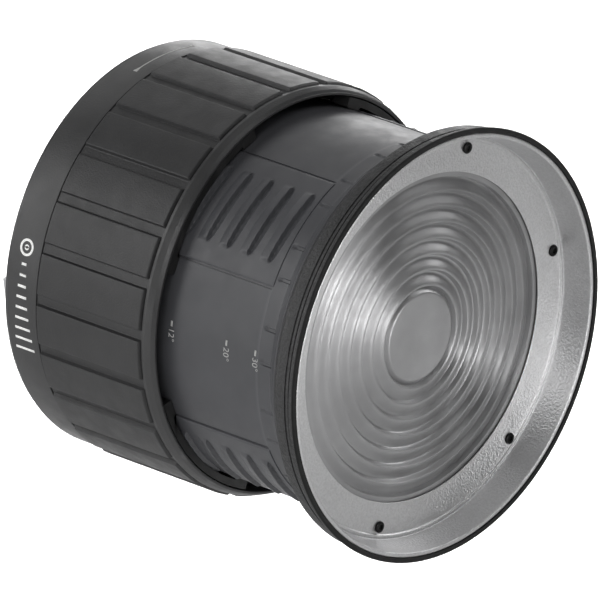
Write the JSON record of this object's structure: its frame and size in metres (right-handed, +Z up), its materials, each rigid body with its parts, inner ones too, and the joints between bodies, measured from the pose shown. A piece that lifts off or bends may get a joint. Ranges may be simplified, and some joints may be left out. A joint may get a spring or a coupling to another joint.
{
  "type": "fresnel spotlight",
  "caption": "Round fresnel spotlight attachment: a turning focus sleeve slides a louvred lens barrel with a silver-dished fresnel lens; bayonet lugs behind.",
  "frame": {"origin": "on the optical axis, at the rear face of the bayonet ring", "axes": "-Y along the optical axis towards the front lens, +Y towards the light the bayonet hangs on, +Z up"},
  "size_m": [0.21, 0.22, 0.21],
  "materials": {
    "steel": "fine turned",
    "brass": "turned",
    "anodised": "black anodised",
    "housing_black": "matt black paint on an aluminium casting",
    "sleeve_black": "fine-grained satin black paint on aluminium",
    "grip_rubber": "fine-grained matt",
    "barrel_grey": "matt, fine moulded grain",
    "trim_black": "textured black paint on aluminium",
    "satin_silver": "satin, lightly textured",
    "lens_glass": "pressed glass with fine ripple",
    "silicone": "matt",
    "acetal": "smooth",
    "acetal_black": "smooth",
    "screw_black": "black oxide"
  },
  "bodies": {
    "housing": {"mount_ring": "steel", "mount_screw_1": "steel", "mount_screw_2": "steel", "mount_screw_3": "steel", "rear_housing": "housing_black", "rear_lens": "lens_glass", "rear_lens_gasket": "silicone", "rear_lens_retainer": "anodised", "guide_tube": "anodised", "guide_screw_1": "steel", "guide_screw_2": "steel", "guide_screw_3": "steel", "rear_slide_ring": "acetal", "front_slide_ring": "acetal_black", "guide_shoe_1": "acetal_black", "guide_shoe_2": "acetal_black", "guide_shoe_3": "acetal_black", "guide_shoe_4": "acetal_black"},
    "sleeve": {"focus_sleeve": "sleeve_black", "focus_grip": "grip_rubber", "cam_tube": "anodised", "cam_screw_1": "steel", "cam_screw_2": "steel", "cam_screw_3": "steel"},
    "barrel": {"lens_barrel": "barrel_grey", "louvre_panel_1": "barrel_grey", "louvre_panel_2": "barrel_grey", "louvre_panel_3": "barrel_grey", "louvre_panel_4": "barrel_grey", "barrel_slide_ring": "acetal", "follower_pin_1": "steel", "follower_pin_2": "steel", "follower_pin_3": "steel", "follower_roller_1": "brass", "follower_roller_2": "brass", "follower_roller_3": "brass", "front_collar": "barrel_grey", "front_lens_gasket": "silicone", "fresnel_lens": "lens_glass", "trim_ring": "trim_black", "lens_dish": "satin_silver", "dish_screw_1": "screw_black", "dish_screw_2": "screw_black", "dish_screw_3": "screw_black", "dish_screw_4": "screw_black", "dish_screw_5": "screw_black", "dish_screw_6": "screw_black"}
  },
  "joints": [
    {"name": "sleeve_turn", "type": "hinge", "parent": "housing", "child": "sleeve", "pos_m": [0, -0.06, 0], "axis": [0, -1, 0], "range_deg": [0, 100]},
    {"name": "barrel_slide", "type": "slide", "parent": "housing", "child": "barrel", "axis": [0, 1, 0], "range_m": [0, 0.05605]}
  ],
  "couplings": [
    {"joint": "barrel_slide", "follows": "sleeve_turn", "m_per_rad": 0.032086}
  ]
}
